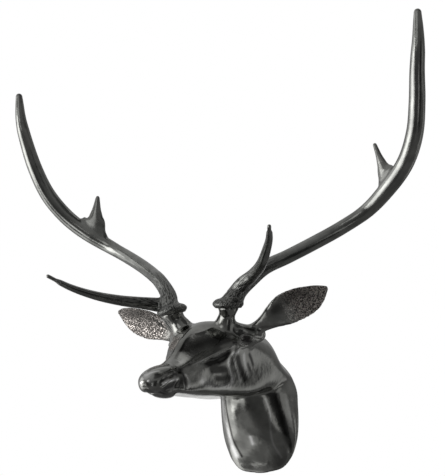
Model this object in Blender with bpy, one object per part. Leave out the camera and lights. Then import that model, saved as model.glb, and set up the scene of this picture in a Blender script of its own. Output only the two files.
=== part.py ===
"""A cast aluminium deer head that hangs on a wall.

The head, with its neck, its ears and its two antler stumps, is one casting. Each antler is a casting of
its own that seats on the flat top of its stump. Sizes are in metres. X runs to the deer's left, -Y out
of the wall and +Z up, and the origin is the middle of the flat face that lies on the wall.
"""
import math

import bmesh
import bpy
import numpy as np
from mathutils import Matrix, Vector
from mathutils.bvhtree import BVHTree

# Driving dimensions
HEAD_DEPTH = 0.322  # from the wall to the tip of the nose
ANTLER_RISE = 0.362  # from the seat to the tip of the beam
EAR_LENGTH = 0.119
EAR_WIDTH = 0.053
EAR_THICKNESS = 0.006
EYE_LENGTH = 0.022
EYE_HEIGHT = 0.015
LID_WIDTH = 0.0036
STUMP_WIDTH = 0.0210  # across a stump, just under its seat
BURR_WIDTH = 0.041  # across the burr at the foot of an antler
BURR_HEIGHT = 0.010
SEAT_GAP = 0.0003  # between the top of a stump and its antler
FOOT_WIDTH = 0.031  # of a beam, in its burr
BEAM_WIDTH = 0.019  # of a beam, half way along
CROWN_WIDTH = 0.0232  # of a beam, above its upper tine
POINT_WIDTH = 0.010  # of a beam, at its tip
BROW_TINE_WIDTH = 0.016
UPPER_TINE_WIDTH = 0.012
TINE_POINT_WIDTH = 0.005

# Fineness of the modelling
HEAD_GRAIN = 0.0018
ANTLER_GRAIN = 0.0013
HEAD_TRIANGLES = 4000
ANTLER_TRIANGLES = 1900
RING_POINTS = 48
EAR_POINTS = 18
EAR_RINGS = 20

# One per cent of the head's reach, the unit of its proportions
HEAD_SHARE = HEAD_DEPTH / 100
# One per cent of an antler's rise, the unit of its route
ANTLER_SHARE = ANTLER_RISE / 100

# The head in upright slices, from the wall to the muzzle: forward, crown height, then half width and
# height of the temple, the facial crest, the cheek and the edge of the jaw, and the height of the throat
HEAD_SLICES = (
    (0.0, 28.0, (3.2, 26.2), (9.4, 16.0), (15.2, 9.4), (12.9, 3.4), 1.7),
    (17.2, 29.2, (8.6, 26.6), (15.0, 18.5), (15.9, 11.2), (13.7, 4.3), 2.1),
    (30.0, 28.8, (10.3, 25.8), (15.5, 19.3), (15.0, 11.2), (12.0, 0.0), -1.3),
    (42.9, 28.3, (11.2, 25.3), (15.7, 18.9), (13.7, 8.6), (9.9, -2.1), -3.0),
    (52.8, 27.0, (9.4, 24.5), (15.5, 18.0), (12.7, 7.7), (8.2, -3.2), -4.3),
    (60.1, 24.0, (6.4, 21.5), (12.7, 15.0), (10.7, 6.4), (7.1, -4.1), -5.2),
    (67.8, 18.9, (4.3, 15.5), (8.6, 8.8), (8.6, 3.0), (6.7, -4.7), -5.8),
    (76.4, 10.5, (3.0, 8.4), (6.2, 4.3), (6.4, -0.4), (5.8, -5.4), -6.2),
    (83.7, 5.2, (2.6, 3.9), (4.9, 0.9), (5.6, -2.6), (4.7, -5.6), -6.7),
    (88.4, 3.0, (2.1, 2.1), (3.9, -0.9), (4.3, -3.4), (3.4, -6.0), -6.9),
)
# The neck in level slices, from its foot to its nape: height, half width on the wall, and depth
NECK_SLICES = (
    (-30.0, 2.0, 0.5),
    (-27.9, 10.6, 1.9),
    (-23.7, 14.4, 3.8),
    (-18.9, 16.4, 7.2),
    (-14.6, 17.4, 11.2),
    (-8.2, 17.8, 15.2),
    (-1.7, 17.6, 18.2),
    (3.9, 17.3, 19.7),
    (11.2, 14.5, 19.7),
    (18.7, 8.4, 16.3),
    (27.0, 3.0, 8.6),
)

# Swells that fill the roots of an ear and its stump: the middle and the half sizes
ROOT_SWELLS = (
    ((13.4, 47.4, 22.4), (5.2, 6.0, 3.6)),
    ((16.2, 44.0, 21.2), (4.4, 5.8, 4.2)),
    ((18.4, 40.8, 21.9), (3.6, 3.6, 3.4)),
)
# The hollows round these roots that are filled smooth: the middle and the reach
ROOT_HOLLOWS = (((17.6, 44.5, 20.6), 6.5), ((15.2, 48.4, 23.6), 5.5))

# The middle of a stump from inside the skull to its seat, and the way the seat faces
STUMP_ROUTE = ((6.5, 50.5, 16.0), (9.8, 52.6, 24.4), (11.7, 54.4, 28.4), (12.9, 55.8, 30.7))
SEAT_LEAN = (0.12, 0.25, 0.96)

# An ear: where it leaves the skull, the way it points, and the way of its upper edge
EAR_ROOT = (16.3, 44.6, 23.6)
EAR_ALONG = (0.905, -0.128, 0.406)
EAR_UPWARD = (-0.18, 0.75, 0.64)
# Its outline in shares: of the length, then of the width the upper and the lower edge, each upward and
# facing, and of the thickness
EAR_LEAF = (
    (-0.12, (0.12, -0.04), (-0.26, 0.00), 3.4),
    (0.08, (0.06, -0.10), (-0.23, 0.05), 2.7),
    (0.20, (0.11, -0.15), (-0.23, 0.10), 2.0),
    (0.30, (0.22, -0.19), (-0.25, 0.15), 1.5),
    (0.40, (0.34, -0.14), (-0.30, 0.19), 1.2),
    (0.50, (0.43, -0.05), (-0.35, 0.20), 1.0),
    (0.60, (0.46, 0.04), (-0.38, 0.18), 1.0),
    (0.70, (0.43, 0.07), (-0.39, 0.16), 1.0),
    (0.80, (0.33, 0.05), (-0.36, 0.12), 1.0),
    (0.90, (0.21, 0.02), (-0.25, 0.07), 0.95),
    (0.96, (0.11, 0.01), (-0.14, 0.03), 0.9),
    (1.00, (0.03, 0.00), (-0.05, 0.00), 0.8),
)

# The middle of an eye, its corners, and its lids from the front corner to the back one
EYE_MIDDLE = (18.0, 48.4, 18.0)
FRONT_CORNER = (15.5, 53.8, 16.2)
BACK_CORNER = (19.5, 42.2, 18.7)
UPPER_LID = (FRONT_CORNER, (15.9, 52.2, 18.3), (17.0, 49.9, 20.0), (18.8, 47.4, 19.9), BACK_CORNER)
LOWER_LID = (FRONT_CORNER, (16.0, 51.1, 15.2), (16.6, 47.0, 16.0), (17.6, 44.2, 17.0), BACK_CORNER)

# Lines on the face, from the crest down to the mouth
CREST = ((14.8, 55.6, 14.8), (12.5, 59.9, 12.6), (10.6, 64.0, 10.5), (8.7, 68.7, 7.9), (7.1, 74.7, 5.1))
UNDER_CREST = ((13.5, 56.7, 12.2), (11.7, 60.2, 9.8), (10.1, 63.9, 8.1), (8.5, 67.4, 6.5))
NOSE_RIDGE = ((2.1, 79.2, 7.1), (1.5, 76.7, 9.6), (1.4, 73.5, 12.5), (1.4, 70.0, 16.3), (2.2, 66.9, 18.9))
BROW_RIDGE = ((3.2, 65.4, 19.6), (5.1, 62.2, 20.8), (6.9, 58.0, 23.4))
MUZZLE_CREASE = ((4.9, 82.6, 2.4), (5.4, 81.0, 1.5), (6.0, 78.9, -0.6), (6.0, 78.1, -2.8), (5.8, 77.7, -5.1))
NOSTRIL = ((4.8, 95.1, -4.8), (5.2, 94.2, -3.9), (5.7, 92.2, -2.9), (5.9, 88.8, -1.3), (5.5, 84.6, 0.0))
NOSTRIL_LIP = ((5.2, 94.0, -5.1), (5.9, 91.7, -4.0), (6.1, 88.4, -3.2), (5.7, 83.1, -1.6))
MOUTH = ((0.0, 97.4, -6.9), (1.1, 96.0, -7.6), (2.3, 91.0, -7.9), (3.7, 84.0, -7.3))
# The lines that are carved: the width, and how far each rises or sinks
FACE_LINES = (
    (CREST, 0.9, 0.5),
    (UNDER_CREST, 1.3, -0.5),
    (NOSE_RIDGE, 0.7, 0.25),
    (BROW_RIDGE, 0.7, 0.25),
    (MUZZLE_CREASE, 0.9, -0.25),
    (NOSTRIL, 0.7, -0.35),
    (NOSTRIL_LIP, 0.8, 0.2),
    (MOUTH, 0.7, -0.5),
)

# Routes of the antlers from the middle of the seat: out to the side, forward and up
BEAM_ROUTE = (
    (0.0, 0.0, 0.0),
    (1.9, -0.8, 3.4),
    (3.5, -3.1, 7.3),
    (6.5, -5.6, 11.2),
    (10.3, -8.0, 15.2),
    (17.1, -13.9, 20.1),
    (25.5, -19.6, 25.7),
    (34.7, -24.0, 31.4),
    (44.1, -25.9, 37.1),
    (53.8, -23.0, 43.6),
    (62.5, -19.2, 51.3),
    (68.2, -14.1, 60.0),
    (71.2, -9.3, 69.5),
    (73.1, -5.3, 79.5),
    (74.9, -2.7, 90.1),
    (75.5, -1.5, 100.0),
)
BROW_TINE_ROUTES = {
    "left": (
        (0.8, -2.3, 4.8),
        (5.0, -0.7, 8.0),
        (10.8, 2.6, 10.0),
        (16.2, 7.6, 11.2),
        (20.5, 12.9, 12.3),
        (24.5, 18.3, 14.2),
        (28.7, 24.8, 15.7),
        (33.8, 35.0, 17.2),
    ),
    "right": (
        (1.8, -2.8, 3.6),
        (5.9, -1.8, 4.4),
        (10.4, 3.6, 4.6),
        (16.4, 11.3, 4.8),
        (22.3, 18.6, 5.8),
        (28.0, 26.7, 7.9),
        (32.8, 33.3, 11.0),
    ),
}
# Where an upper tine leaves the middle of its beam, its tip, and how much broader it is than its width
UPPER_TINES = {
    "left": ((54.9, -22.4, 44.6), (49.6, -22.4, 60.9), 0.8),
    "right": ((51.2, -23.4, 42.6), (49.2, -22.4, 58.2), 1.15),
}

SIDES = {"left": 1.0, "right": -1.0}


def bend(points, knots, spread):
    """Places on the smooth curve that passes the points at their knots."""
    slopes = np.gradient(points, knots, axis=0)
    index = np.clip(np.searchsorted(knots, spread, side="right") - 1, 0, len(knots) - 2)
    length = (knots[index + 1] - knots[index])[:, None]
    t = (spread - knots[index])[:, None] / length
    start = (1 + 2 * t) * (1 - t) ** 2 * points[index] + t * (1 - t) ** 2 * length * slopes[index]
    end = t * t * (3 - 2 * t) * points[index + 1] + t * t * (t - 1) * length * slopes[index + 1]
    return start + end


def distances(points):
    """How far along a line of points each of them lies."""
    steps = np.linalg.norm(np.diff(points, axis=0), axis=1)
    return np.concatenate([[0.0], np.cumsum(steps)])


def curve(points, count):
    """Even places on a smooth curve through the given points, from the first to the last."""
    points = np.array(points, dtype=float)
    knots = distances(points)
    return bend(points, knots, np.linspace(0.0, knots[-1], count))


def loop(points, count):
    """Even places on a smooth closed curve through the given points."""
    size = len(points)
    turns = np.array([points[i % size] for i in range(-2, size + 3)], dtype=float)
    knots = distances(turns)
    return bend(turns, knots, np.linspace(knots[2], knots[2 + size], count, endpoint=False))


def shares(marks, count):
    """Values at even steps between marks that give a share of the whole and a value."""
    places, values = zip(*marks)
    return np.interp(np.linspace(0.0, 1.0, count), places, values)


def world(places, side=1.0):
    """Turns places given as out to the side, forward and up into X, Y and Z."""
    return np.array(places, dtype=float) * np.array([side, -1.0, 1.0])


def add_body(shape, rings):
    """Adds a closed body to the shape: a disc that is extruded from ring to ring."""
    made = bmesh.ops.create_circle(shape, cap_ends=True, segments=len(rings[0]), radius=1.0)
    first_cap = cap = made["verts"][0].link_faces[0]
    for vert, place in zip(cap.verts, rings[0]):
        vert.co = place
    for ring in rings[1:]:
        grown = bmesh.ops.extrude_face_region(shape, geom=[cap])
        if cap is not first_cap:
            shape.faces.remove(cap)
        cap = next(item for item in grown["geom"] if isinstance(item, bmesh.types.BMFace))
        for vert, place in zip(cap.verts, ring):
            vert.co = place


def add_tube(shape, route, widths, points, broad=None, broadside=(0.0, 1.0, 0.0), slants=None):
    """Adds a tube with a round end along a route. Where it is broad, it is an oval along broadside.

    A slant of one keeps an oval flush with broadside, and without one it stands square to the route.
    """
    broad = np.ones(len(route)) if broad is None else broad
    slants = np.zeros(len(route)) if slants is None else slants
    directions = np.gradient(np.array(route), axis=0)
    angles = [2 * math.pi * i / points for i in range(points)]
    sideways = Vector(broadside)
    rings = []

    def add_ring(place, width, breadth):
        long_way = sideways * (breadth * width / 2)
        short_way = other * (width / 2)
        rings.append([place + long_way * math.cos(a) + short_way * math.sin(a) for a in angles])

    for place, direction, width, breadth, slant in zip(route, directions, widths, broad, slants):
        along = Vector(direction).normalized()
        sideways = (sideways - along * (sideways.dot(along) * (1 - slant))).normalized()
        other = along.cross(sideways).normalized()
        add_ring(Vector(place), width, breadth)
    for lift in (0.3, 0.6, 0.85):
        turn = lift * math.pi / 2
        past_end = along * (math.sin(turn) * widths[-1] / 2)
        add_ring(Vector(route[-1]) + past_end, widths[-1] * math.cos(turn), 1.0)
    add_body(shape, rings)


def add_ball(shape, middle, sizes, tilt, squareness):
    """Adds an egg of the given half sizes, tipped forward by the tilt."""
    made = bmesh.ops.create_uvsphere(shape, u_segments=32, v_segments=20, radius=1.0)
    turn = Matrix.Rotation(tilt, 4, "X")
    for vert in made["verts"]:
        bulged = [math.copysign(abs(far) ** squareness, far) * size for far, size in zip(vert.co, sizes)]
        vert.co = Vector(middle) + turn @ Vector(bulged)


def mesh_object(name, shape):
    """Turns a bmesh into an object in the scene."""
    bmesh.ops.recalc_face_normals(shape, faces=shape.faces)
    mesh = bpy.data.meshes.new(name)
    shape.to_mesh(mesh)
    shape.free()
    thing = bpy.data.objects.new(name, mesh)
    bpy.context.collection.objects.link(thing)
    return thing


def settle(thing):
    """Bakes the modifiers of an object into its mesh."""
    bpy.context.view_layer.update()
    baked = bpy.data.meshes.new_from_object(thing.evaluated_get(bpy.context.evaluated_depsgraph_get()))
    thing.modifiers.clear()
    thing.data = baked


def fuse(thing, grain):
    """Melts the overlapping bodies of an object into one skin with faces of an even size."""
    melt = thing.modifiers.new("Melt", "REMESH")
    melt.mode = "VOXEL"
    melt.voxel_size = grain
    melt.adaptivity = 0.0
    settle(thing)


def cut_or_join(thing, other, operation):
    """Joins another body to an object, or takes it away from it."""
    meet = thing.modifiers.new(operation.title(), "BOOLEAN")
    meet.operation = operation
    meet.solver = "EXACT"
    meet.object = other
    settle(thing)
    bpy.data.objects.remove(other)


def read_places(mesh):
    """The corners of a mesh as an array."""
    places = np.empty(len(mesh.vertices) * 3, dtype=np.float32)
    mesh.vertices.foreach_get("co", places)
    return places.reshape(-1, 3).astype(float)


def write_places(mesh, places):
    """Puts an array of corners back into its mesh."""
    mesh.vertices.foreach_set("co", places.astype(np.float32).ravel())
    mesh.update()


def read_normals(mesh):
    """The outward direction at every corner of a mesh."""
    normals = np.empty(len(mesh.vertices) * 3, dtype=np.float32)
    mesh.vertex_normals.foreach_get("vector", normals)
    return normals.reshape(-1, 3).astype(float)


def read_edges(mesh):
    """The two corners of every edge of a mesh."""
    ends = np.empty(len(mesh.edges) * 2, dtype=np.int32)
    mesh.edges.foreach_get("vertices", ends)
    return ends.reshape(-1, 2).T


def pulls(places, edges):
    """The way from every corner to the middle of its neighbours."""
    one, two = edges
    total = np.empty_like(places)
    for axis in range(3):
        total[:, axis] = np.bincount(one, places[two, axis], len(places))
        total[:, axis] += np.bincount(two, places[one, axis], len(places))
    return total / np.bincount(edges.ravel(), minlength=len(places))[:, None] - places


def relax(mesh, passes):
    """Evens out a skin without shrinking it: each pass pulls every corner in and lets it out again."""
    edges = read_edges(mesh)
    places = read_places(mesh)
    for _ in range(passes):
        for pull in (0.55, -0.57):
            places += pull * pulls(places, edges)
    write_places(mesh, places)


def nearness(mesh, place, reach):
    """How near the corners of a mesh are to a place on either side of the head, from one down to nothing."""
    places = read_places(mesh) / HEAD_SHARE
    gaps = [np.linalg.norm(places - world(place, side), axis=1) for side in SIDES.values()]
    return np.clip(1.0 - (np.minimum(*gaps) / reach) ** 2, 0.0, 1.0)


def soften(mesh, passes, share):
    """Melts bumps and edges where the share of each corner is more than nothing."""
    edges = read_edges(mesh)
    places = read_places(mesh)
    for _ in range(passes):
        places += share[:, None] * pulls(places, edges)
    write_places(mesh, places)


def fill_creases(mesh, passes, share=0.8):
    """Fills the creases where bodies meet, as a casting does: hollow corners move out, full ones stay."""
    edges = read_edges(mesh)
    for _ in range(passes):
        places = read_places(mesh)
        normals = read_normals(mesh)
        hollow = np.clip(np.sum(pulls(places, edges) * normals, axis=1), 0.0, None)
        write_places(mesh, places + (share * hollow)[:, None] * normals)


def press(mesh, route, width, height):
    """Raises a ridge along a route on the skin, or sinks a groove where the height is negative."""
    line = curve(route, 60)
    places = read_places(mesh)
    reach = 3 * width
    near = np.all((places > line.min(axis=0) - reach) & (places < line.max(axis=0) + reach), axis=1)
    gaps = np.linalg.norm(places[near][:, None] - line[None], axis=2)
    closest = gaps.argmin(axis=1)
    strength = np.exp(-(gaps.min(axis=1) / width) ** 2)
    fade = np.sin(math.pi * (closest + 1) / (len(line) + 1)) ** 0.5
    places[near] += read_normals(mesh)[near] * (height * strength * fade)[:, None]
    write_places(mesh, places)


def press_pair(mesh, route, width, height):
    """Presses the same line into both sides of the head, given in shares of its reach."""
    for side in SIDES.values():
        press(mesh, world(route, side) * HEAD_SHARE, width * HEAD_SHARE, height * HEAD_SHARE)


def lighten(thing, triangles):
    """Brings a skin down to a number of triangles, with most of them left where it curves most."""
    split = thing.modifiers.new("Split", "TRIANGULATE")
    split.quad_method = "BEAUTY"
    settle(thing)
    light = thing.modifiers.new("Light", "DECIMATE")
    light.ratio = triangles / len(thing.data.polygons)
    settle(thing)


def cut_flat(thing, place, outward):
    """Cuts away what lies past a plane and closes the cut with a flat face."""
    shape = bmesh.new()
    shape.from_mesh(thing.data)
    everything = shape.verts[:] + shape.edges[:] + shape.faces[:]
    bmesh.ops.bisect_plane(
        shape, geom=everything, dist=1e-6, plane_co=place, plane_no=outward, clear_outer=True
    )
    rim = [edge for edge in shape.edges if edge.is_boundary]
    bmesh.ops.edgeloop_fill(shape, edges=rim)
    bmesh.ops.recalc_face_normals(shape, faces=shape.faces)
    shape.to_mesh(thing.data)
    shape.free()


def seat(side):
    """The middle of a stump's flat top and the way it faces."""
    return Vector(world(STUMP_ROUTE[-1], side) * HEAD_SHARE), Vector(world(SEAT_LEAN, side)).normalized()


def head_rings():
    """Rings of the upright slices of the head."""
    rows = [[row[0], row[1], *row[2], *row[3], *row[4], *row[5], row[6]] for row in HEAD_SLICES]
    rings = []
    for ahead, crown, *sides, throat in curve(rows, 64):
        half = [(sides[i], sides[i + 1]) for i in range(0, len(sides), 2)]
        outline = [(0.0, crown), *half, (0.0, throat), *[(-x, z) for x, z in reversed(half)]]
        rings.append([Vector((x, -ahead, z)) * HEAD_SHARE for x, z in loop(outline, RING_POINTS)])
    return rings


def neck_rings():
    """Rings of the level slices of the neck, each an oval about the wall."""
    angles = [2 * math.pi * i / RING_POINTS for i in range(RING_POINTS)]
    return [
        [Vector((half * math.cos(a), -depth * math.sin(a), height)) * HEAD_SHARE for a in angles]
        for height, half, depth in curve(NECK_SLICES, 48)
    ]


def add_stump(shape, side):
    """Adds the smooth stump that carries an antler, a little longer than its seat."""
    place, lean = seat(side)
    route = curve(world(STUMP_ROUTE, side) * HEAD_SHARE, 12)
    past_seat = np.array(place + lean * (0.3 * STUMP_WIDTH))
    widths = [*shares([(0.0, 1.5), (0.5, 1.5), (0.62, 1.25), (0.8, 1.0), (0.9, 1.05), (1.0, 1.3)], 12), 1.3]
    outward = world((0.7, 0.7, 0.0), side)
    add_tube(shape, [*route, past_seat], [STUMP_WIDTH * wide for wide in widths], 24, [1.1] * 13, outward)


def make_ear(side):
    """A cupped leaf on its stem, which reaches into the skull."""
    root = Vector(world(EAR_ROOT, side) * HEAD_SHARE)
    along = Vector(world(EAR_ALONG, side)).normalized()
    upward = Vector(world(EAR_UPWARD, side))
    upward = (upward - along * upward.dot(along)).normalized()
    facing = along.cross(upward) * side
    rings = []
    rows = [[share, *top, *bottom, thick] for share, top, bottom, thick in EAR_LEAF]
    for share, top_up, top_facing, bottom_up, bottom_facing, thick in curve(rows, EAR_RINGS):
        top = EAR_WIDTH * (upward * top_up + facing * top_facing)
        bottom = EAR_WIDTH * (upward * bottom_up + facing * bottom_facing)
        middle = root + along * (share * EAR_LENGTH) + (top + bottom) / 2
        half = (top - bottom) / 2
        behind = along.cross(half).normalized() * side
        hollow = 0.42 * half.length * min(1.0, max(0.0, 2.2 * share - 0.25))
        ring = []
        for i in range(EAR_POINTS):
            angle = 2 * math.pi * i / EAR_POINTS
            across = math.cos(angle)
            skin = math.copysign(abs(math.sin(angle)) ** 0.7, math.sin(angle)) * EAR_THICKNESS * thick / 2
            ring.append(middle + half * across + behind * (skin + hollow * (across * across - 1)))
        rings.append(ring)
    shape = bmesh.new()
    add_body(shape, rings)
    return mesh_object("ear", shape)


def carve_head(mesh):
    """Presses the lines of the face into the skin."""
    for route, width, height in FACE_LINES:
        press_pair(mesh, route, width, height)


def add_eyes(head):
    """Sets the ball of each eye in the skin, between its two lids."""
    bpy.context.view_layer.update()
    skin = BVHTree.FromObject(head, bpy.context.evaluated_depsgraph_get())
    for side in SIDES.values():
        middle, outward = skin.find_nearest(world(EYE_MIDDLE, side) * HEAD_SHARE)[:2]
        corners = world((UPPER_LID[0], UPPER_LID[-1]), side)
        upward = outward.cross(Vector(corners[1] - corners[0])).normalized()
        turn = Matrix((upward.cross(outward), upward, outward)).transposed().to_4x4()
        size = Matrix.Diagonal((EYE_LENGTH / 2, EYE_HEIGHT / 2, EYE_HEIGHT / 3, 1.0))
        shape = bmesh.new()
        bmesh.ops.create_uvsphere(shape, u_segments=10, v_segments=7, radius=1.0)
        shape.transform(Matrix.Translation(middle) @ turn @ size)
        cut_or_join(head, mesh_object("eyeball", shape), "UNION")
        for lid in (UPPER_LID, LOWER_LID):
            places = curve(world(lid, side) * HEAD_SHARE, 9)
            route = [Vector(skin.find_nearest(place)[0]) for place in places]
            widths = LID_WIDTH * shares([(0.0, 0.5), (0.3, 1.0), (0.7, 1.0), (1.0, 0.5)], len(route))
            shape = bmesh.new()
            add_tube(shape, route, widths, 6)
            cut_or_join(head, mesh_object("lid", shape), "UNION")


def seat_cutter(side):
    """A drum whose flat underside is the seat of an antler."""
    place, lean = seat(side)
    shape = bmesh.new()
    bmesh.ops.create_cone(
        shape, cap_ends=True, segments=32, radius1=STUMP_WIDTH, radius2=STUMP_WIDTH, depth=STUMP_WIDTH
    )
    turn = lean.to_track_quat("Z", "Y").to_matrix().to_4x4()
    shape.transform(Matrix.Translation(place + lean * (STUMP_WIDTH / 2)) @ turn)
    return mesh_object("seat_cutter", shape)


def make_head():
    """The head, the neck, the ears and the stumps in one solid."""
    shape = bmesh.new()
    add_body(shape, head_rings())
    add_body(shape, neck_rings())
    muzzle = Vector((0.0, -88.6, -2.1)) * HEAD_SHARE
    add_ball(shape, muzzle, np.array([6.0, 10.6, 4.9]) * HEAD_SHARE, math.radians(22), 0.86)
    chin = Vector((0.0, -86.8, -6.6)) * HEAD_SHARE
    add_ball(shape, chin, np.array([4.6, 8.2, 2.4]) * HEAD_SHARE, math.radians(-3), 1.0)
    for side in SIDES.values():
        for middle, sizes in ROOT_SWELLS:
            add_ball(shape, world(middle, side) * HEAD_SHARE, np.array(sizes) * HEAD_SHARE, 0.0, 1.0)
        add_stump(shape, side)
    head = mesh_object("deer_head", shape)
    fuse(head, HEAD_GRAIN)
    relax(head.data, 8)
    fill_creases(head.data, 20)
    for place, reach in ROOT_HOLLOWS:
        near = nearness(head.data, place, reach)
        fill_creases(head.data, 20, 0.9 * near)
        soften(head.data, 35, 0.5 * near)
    carve_head(head.data)
    relax(head.data, 2)
    lighten(head, HEAD_TRIANGLES)
    cut_flat(head, Vector((0.0, 0.0, 0.0)), Vector((0.0, 1.0, 0.0)))
    add_eyes(head)
    for side in SIDES.values():
        cut_or_join(head, make_ear(side), "UNION")
        cut_or_join(head, seat_cutter(side), "DIFFERENCE")
    return head


def add_beam(shape, name):
    """Adds the long beam of an antler, sunk a little into its burr."""
    marks = (
        (0.0, FOOT_WIDTH),
        (0.05, 0.45 * (FOOT_WIDTH + BEAM_WIDTH)),
        (0.12, 1.04 * BEAM_WIDTH),
        (0.20, BEAM_WIDTH),
        (0.42, BEAM_WIDTH),
        (0.56, CROWN_WIDTH),
        (0.68, CROWN_WIDTH),
        (0.80, 0.92 * CROWN_WIDTH),
        (0.90, 0.80 * CROWN_WIDTH),
        (0.97, 0.5 * (0.70 * CROWN_WIDTH + POINT_WIDTH)),
        (1.0, POINT_WIDTH),
    )
    place, lean = seat(SIDES[name])
    route = np.array(place) + curve(world(BEAM_ROUTE, SIDES[name]) * ANTLER_SHARE, 38)
    route[0] -= np.array(lean) * (0.5 * BURR_HEIGHT)
    add_tube(shape, route, shares(marks, len(route)), 20)


def add_burr(shape, side):
    """Adds the collar at the foot of an antler, which stands over its stump."""
    place, lean = seat(side)
    marks = (
        (-0.4, 0.7),
        (0.0, 0.78),
        (0.2, 0.92),
        (0.45, 1.0),
        (0.7, 0.99),
        (1.0, 0.87),
        (1.2, 0.7),
        (1.25, 0.1),
    )
    route = [place + lean * (BURR_HEIGHT * rise) for rise, _ in marks]
    add_tube(shape, route, [BURR_WIDTH * wide for _, wide in marks], 32)


def add_brow_tine(shape, name):
    """Adds the long tine that points forward from just above the burr."""
    marks = ((0.0, 1.3), (0.12, 1.2), (0.25, 1.0), (0.6, 0.74), (0.9, 0.48), (1.0, 0.0))
    start = np.array(seat(SIDES[name])[0])
    route = start + curve(world(BROW_TINE_ROUTES[name], SIDES[name]) * ANTLER_SHARE, 20)
    widths = np.maximum(BROW_TINE_WIDTH * shares(marks, len(route)), TINE_POINT_WIDTH)
    add_tube(shape, route, widths, 16)


def add_upper_tine(shape, name):
    """Adds the short tine that stands on the beam, with a foot that is broad along the beam."""
    start = np.array(seat(SIDES[name])[0])
    foot, tip, breadth = UPPER_TINES[name]
    route = start + np.linspace(*world((foot, tip), SIDES[name]) * ANTLER_SHARE, 12)
    widths = UPPER_TINE_WIDTH * shares([(0.0, 1.2), (0.3, 1.0), (0.6, 0.8), (1.0, 0.45)], len(route))
    broad = shares([(0.0, 3.9), (0.2, 3.5), (0.35, 2.6), (0.5, 1.8), (0.7, 1.35), (1.0, 1.0)], len(route))
    beamward = world((0.75, 0.27, 0.6), SIDES[name])
    slants = shares([(0.0, 1.0), (0.3, 1.0), (0.5, 0.0), (1.0, 0.0)], len(route))
    add_tube(shape, route, widths, 20, np.maximum(broad * breadth, 1.0), beamward, slants)


def make_antler(name):
    """A beam with its burr, its brow tine and its upper tine, in one solid."""
    place, lean = seat(SIDES[name])
    shape = bmesh.new()
    add_beam(shape, name)
    add_burr(shape, SIDES[name])
    add_brow_tine(shape, name)
    add_upper_tine(shape, name)
    antler = mesh_object(f"{name}_antler", shape)
    fuse(antler, ANTLER_GRAIN)
    relax(antler.data, 4)
    fill_creases(antler.data, 40)
    relax(antler.data, 4)
    lighten(antler, ANTLER_TRIANGLES)
    cut_flat(antler, place + lean * SEAT_GAP, -lean)
    return antler


def give_metal(thing, name, colour, roughness):
    """Gives an object its own cast metal."""
    metal = bpy.data.materials.new(name)
    metal.use_nodes = True
    surface = metal.node_tree.nodes["Principled BSDF"]
    surface.inputs["Base Color"].default_value = (*colour, 1.0)
    surface.inputs["Metallic"].default_value = 1.0
    surface.inputs["Roughness"].default_value = roughness
    thing.data.materials.clear()
    thing.data.materials.append(metal)
    thing.data.shade_smooth()
    thing.data.set_sharp_from_angle(angle=math.radians(50))


def main():
    for thing in list(bpy.data.objects):
        bpy.data.objects.remove(thing)
    give_metal(make_head(), "head_aluminium", (0.36, 0.35, 0.34), 0.2)
    for name in SIDES:
        give_metal(make_antler(name), f"{name}_antler_aluminium", (0.33, 0.33, 0.33), 0.28)


main()
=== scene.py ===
"""The cast aluminium deer head as it hangs: fine skins for the head and both antlers, metal and light.

Sizes are in metres. X runs to the deer's left, -Y out of the wall and +Z up. The driving sizes and the
tables of slices and routes repeat those of the part.
"""
import math

import bmesh
import bpy
import numpy as np
from mathutils import Matrix, Vector
from mathutils.bvhtree import BVHTree

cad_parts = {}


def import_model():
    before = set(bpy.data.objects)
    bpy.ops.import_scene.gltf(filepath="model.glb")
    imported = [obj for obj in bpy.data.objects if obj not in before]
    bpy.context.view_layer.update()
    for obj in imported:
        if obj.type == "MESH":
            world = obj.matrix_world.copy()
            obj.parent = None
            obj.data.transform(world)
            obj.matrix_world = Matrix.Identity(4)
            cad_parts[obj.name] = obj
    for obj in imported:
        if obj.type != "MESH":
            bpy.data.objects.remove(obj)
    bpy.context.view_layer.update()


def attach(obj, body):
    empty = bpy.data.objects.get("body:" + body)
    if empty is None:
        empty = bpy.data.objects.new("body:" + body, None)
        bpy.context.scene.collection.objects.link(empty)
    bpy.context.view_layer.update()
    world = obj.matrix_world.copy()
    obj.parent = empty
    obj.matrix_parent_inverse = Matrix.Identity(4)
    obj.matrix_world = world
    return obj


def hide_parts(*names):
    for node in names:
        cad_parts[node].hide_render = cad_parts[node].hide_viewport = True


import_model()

# Driving sizes of the part
HEAD_DEPTH = 0.322  # from the wall to the tip of the nose
ANTLER_RISE = 0.362  # from the seat to the tip of the beam
EAR_LENGTH = 0.119
EAR_WIDTH = 0.053
EAR_THICKNESS = 0.006
EYE_LENGTH = 0.022
EYE_HEIGHT = 0.015
STUMP_WIDTH = 0.0210  # across a stump, just under its seat
BURR_WIDTH = 0.041  # across the burr at the foot of an antler
BURR_HEIGHT = 0.010
SEAT_GAP = 0.0003  # between the top of a stump and its antler
FOOT_WIDTH = 0.031  # of a beam, in its burr
BEAM_WIDTH = 0.019  # of a beam, half way along
CROWN_WIDTH = 0.0232  # of a beam, above its upper tine
POINT_WIDTH = 0.010  # of a beam, at its tip
BROW_TINE_WIDTH = 0.016
UPPER_TINE_WIDTH = 0.012
TINE_POINT_WIDTH = 0.005

# The finer carving of the eyes
EYE_BULGE = 0.0030  # of the ball out of its socket
EYE_DEPTH = 0.02  # within which the skin belongs to the eye and not to the far side of the head
LID_SPREAD = 0.0017  # on either side of a lid's ridge
UPPER_LID_RISE = 0.0016
LOWER_LID_RISE = 0.0011
FOLD_SPREAD = 0.0011  # on either side of the fold inside a lid
FOLD_DEPTH = 0.0011
FOLD_INSET = 0.25  # of the way from a lid to the middle of the eye

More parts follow.
